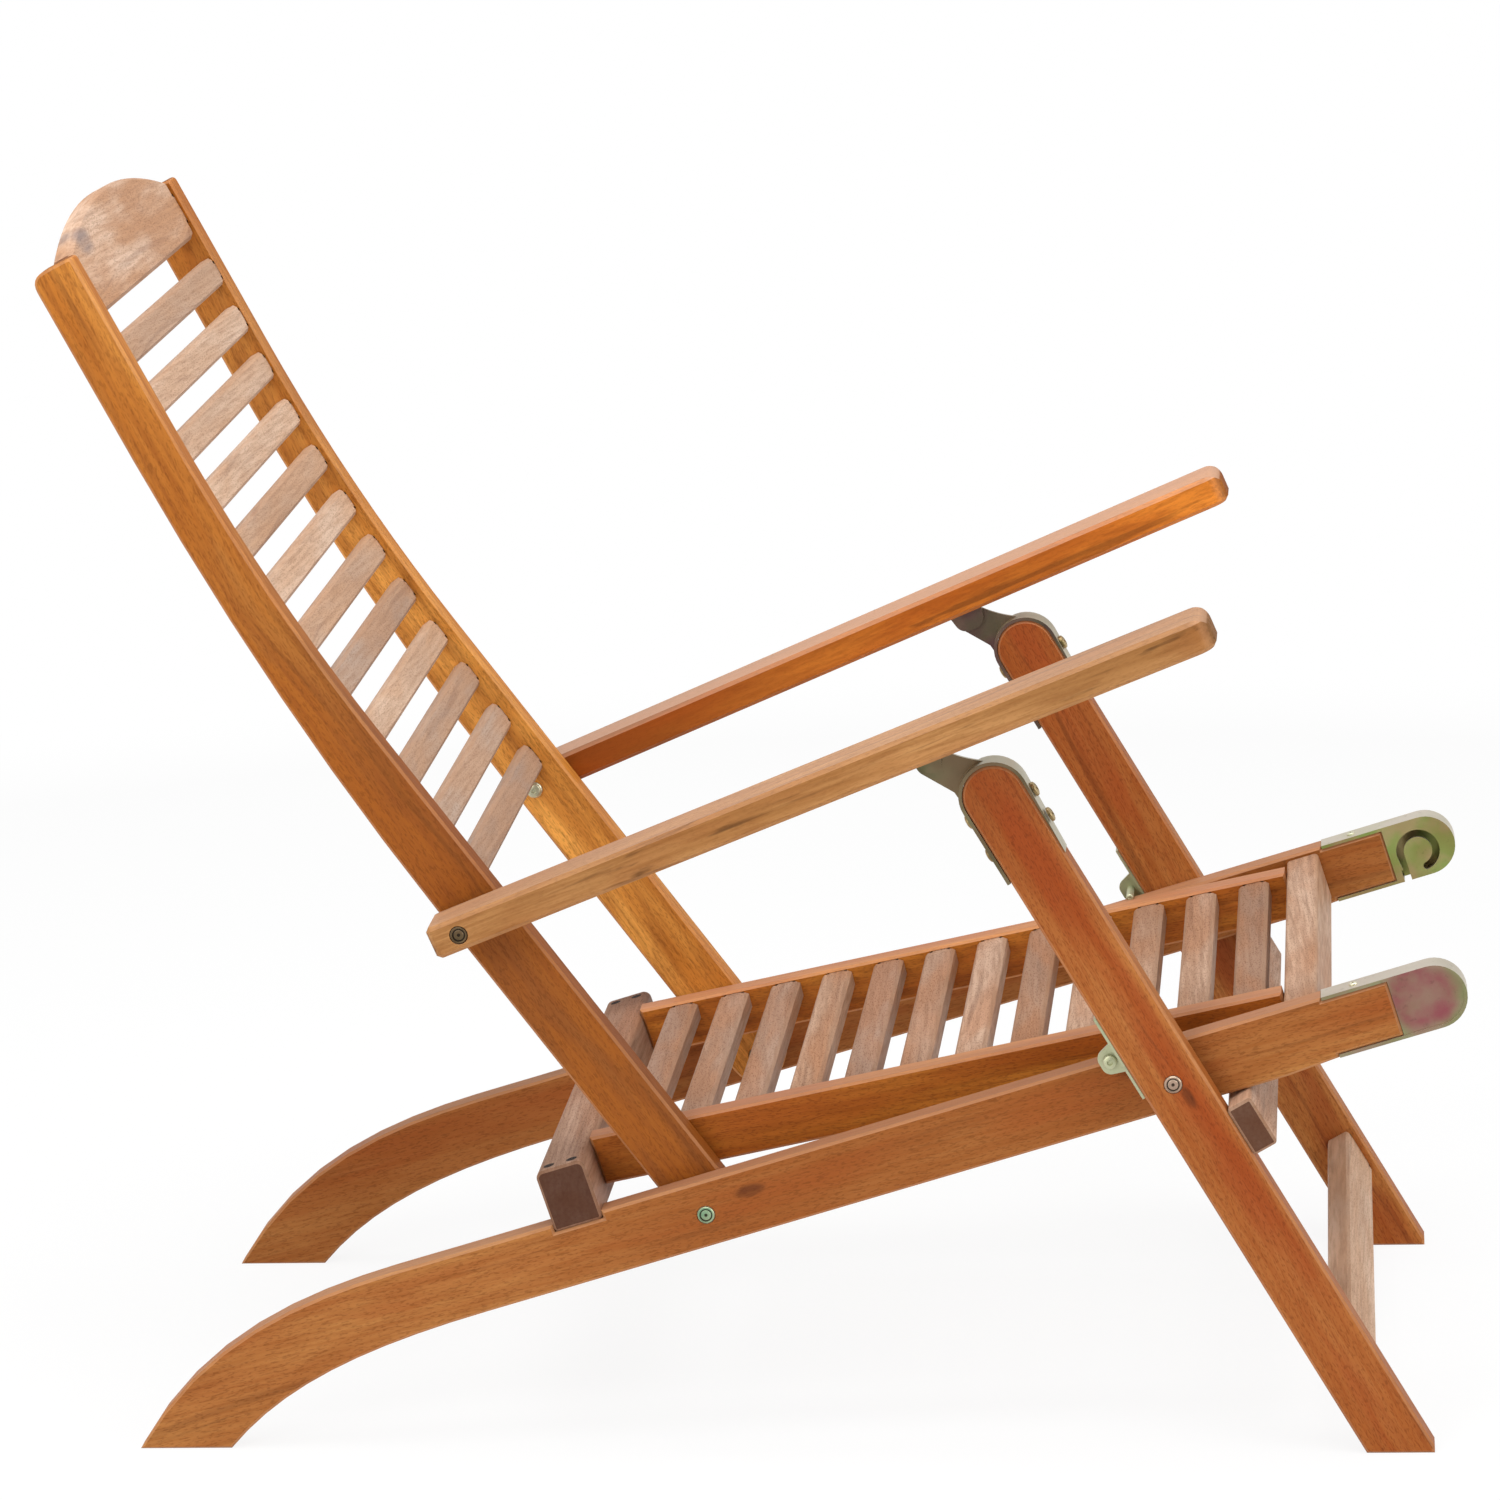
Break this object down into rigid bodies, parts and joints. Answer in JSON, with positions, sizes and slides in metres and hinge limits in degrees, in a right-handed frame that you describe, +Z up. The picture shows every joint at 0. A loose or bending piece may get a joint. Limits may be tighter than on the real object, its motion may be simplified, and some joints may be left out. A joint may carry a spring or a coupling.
{
  "type": "folding steamer deck chair",
  "caption": "Folding wooden steamer chair with slatted seat and back, crowned headboard, curved rear feet, pivoting arms and legs, and zinc footrest sockets at the rail noses.",
  "frame": {"origin": "on the floor under the middle of the chair's outline", "axes": "+X towards the foot end, the way the sitter faces; +Y to the sitter's left; +Z up"},
  "size_m": [1.033, 0.5912, 0.9287],
  "materials": {
    "rail_wood": "oiled hardwood, warm orange brown",
    "back_wood": "oiled hardwood, warm orange brown",
    "leg_wood": "oiled hardwood, reddish brown",
    "arm_wood": "oiled hardwood, light orange brown",
    "slat_wood": "oiled hardwood, pale pinkish brown with darker end grain",
    "zinc": "yellow-passivated zinc plate on steel, faintly iridescent"
  },
  "bodies": {
    "base": {"left_side_rail": "rail_wood", "right_side_rail": "rail_wood", "rear_seat_beam": "slat_wood", "front_crossbar": "slat_wood", "left_seat_rail": "rail_wood", "right_seat_rail": "rail_wood", "seat_slat_1": "slat_wood", "seat_slat_2": "slat_wood", "seat_slat_3": "slat_wood", "seat_slat_4": "slat_wood", "seat_slat_5": "slat_wood", "seat_slat_6": "slat_wood", "seat_slat_7": "slat_wood", "seat_slat_8": "slat_wood", "seat_slat_9": "slat_wood", "seat_slat_10": "slat_wood", "seat_slat_11": "slat_wood", "seat_slat_12": "slat_wood", "left_footrest_hook": "zinc", "right_footrest_hook": "zinc", "left_leg_pivot_sleeve": "zinc", "right_leg_pivot_sleeve": "zinc", "left_leg_pivot_screw": "zinc", "right_leg_pivot_screw": "zinc", "left_back_pivot_sleeve": "zinc", "right_back_pivot_sleeve": "zinc", "left_back_pivot_screw": "zinc", "right_back_pivot_screw": "zinc"},
    "back": {"left_back_stile": "back_wood", "right_back_stile": "back_wood", "back_slat_1": "slat_wood", "back_slat_2": "slat_wood", "back_slat_3": "slat_wood", "back_slat_4": "slat_wood", "back_slat_5": "slat_wood", "back_slat_6": "slat_wood", "back_slat_7": "slat_wood", "back_slat_8": "slat_wood", "back_slat_9": "slat_wood", "back_slat_10": "slat_wood", "back_slat_11": "slat_wood", "back_slat_12": "slat_wood", "headboard": "slat_wood", "left_arm_pivot_sleeve": "zinc", "right_arm_pivot_sleeve": "zinc", "left_arm_pivot_screw": "zinc", "right_arm_pivot_screw": "zinc"},
    "legs": {"left_front_leg": "leg_wood", "right_front_leg": "leg_wood", "leg_stretcher": "slat_wood", "stop_beam": "slat_wood", "left_leg_bracket": "zinc", "right_leg_bracket": "zinc", "left_stop_lug": "zinc", "right_stop_lug": "zinc"},
    "left_arm": {"left_arm": "arm_wood", "left_arm_hinge": "zinc"},
    "right_arm": {"right_arm": "arm_wood", "right_arm_hinge": "zinc"}
  },
  "joints": [
    {"name": "back_fold", "type": "hinge", "parent": "base", "child": "back", "pos_m": [-0.04891, 0, 0.1819], "axis": [0, 1, 0], "range_deg": [0, 90]},
    {"name": "leg_fold", "type": "hinge", "parent": "base", "child": "legs", "pos_m": [0.30119, 0, 0.2862], "axis": [0, 1, 0], "range_deg": [0, 86]},
    {"name": "left_arm_swing", "type": "hinge", "parent": "back", "child": "left_arm", "pos_m": [-0.22011, 0.246, 0.407], "axis": [0, 1, 0], "range_deg": [-90, 0]},
    {"name": "right_arm_swing", "type": "hinge", "parent": "back", "child": "right_arm", "pos_m": [-0.22011, -0.246, 0.407], "axis": [0, 1, 0], "range_deg": [-90, 0]}
  ],
  "couplings": [
    {"joint": "leg_fold", "follows": "back_fold", "ratio": 0.9457},
    {"joint": "left_arm_swing", "follows": "back_fold", "ratio": -0.9977},
    {"joint": "right_arm_swing", "follows": "back_fold", "ratio": -0.9977}
  ]
}
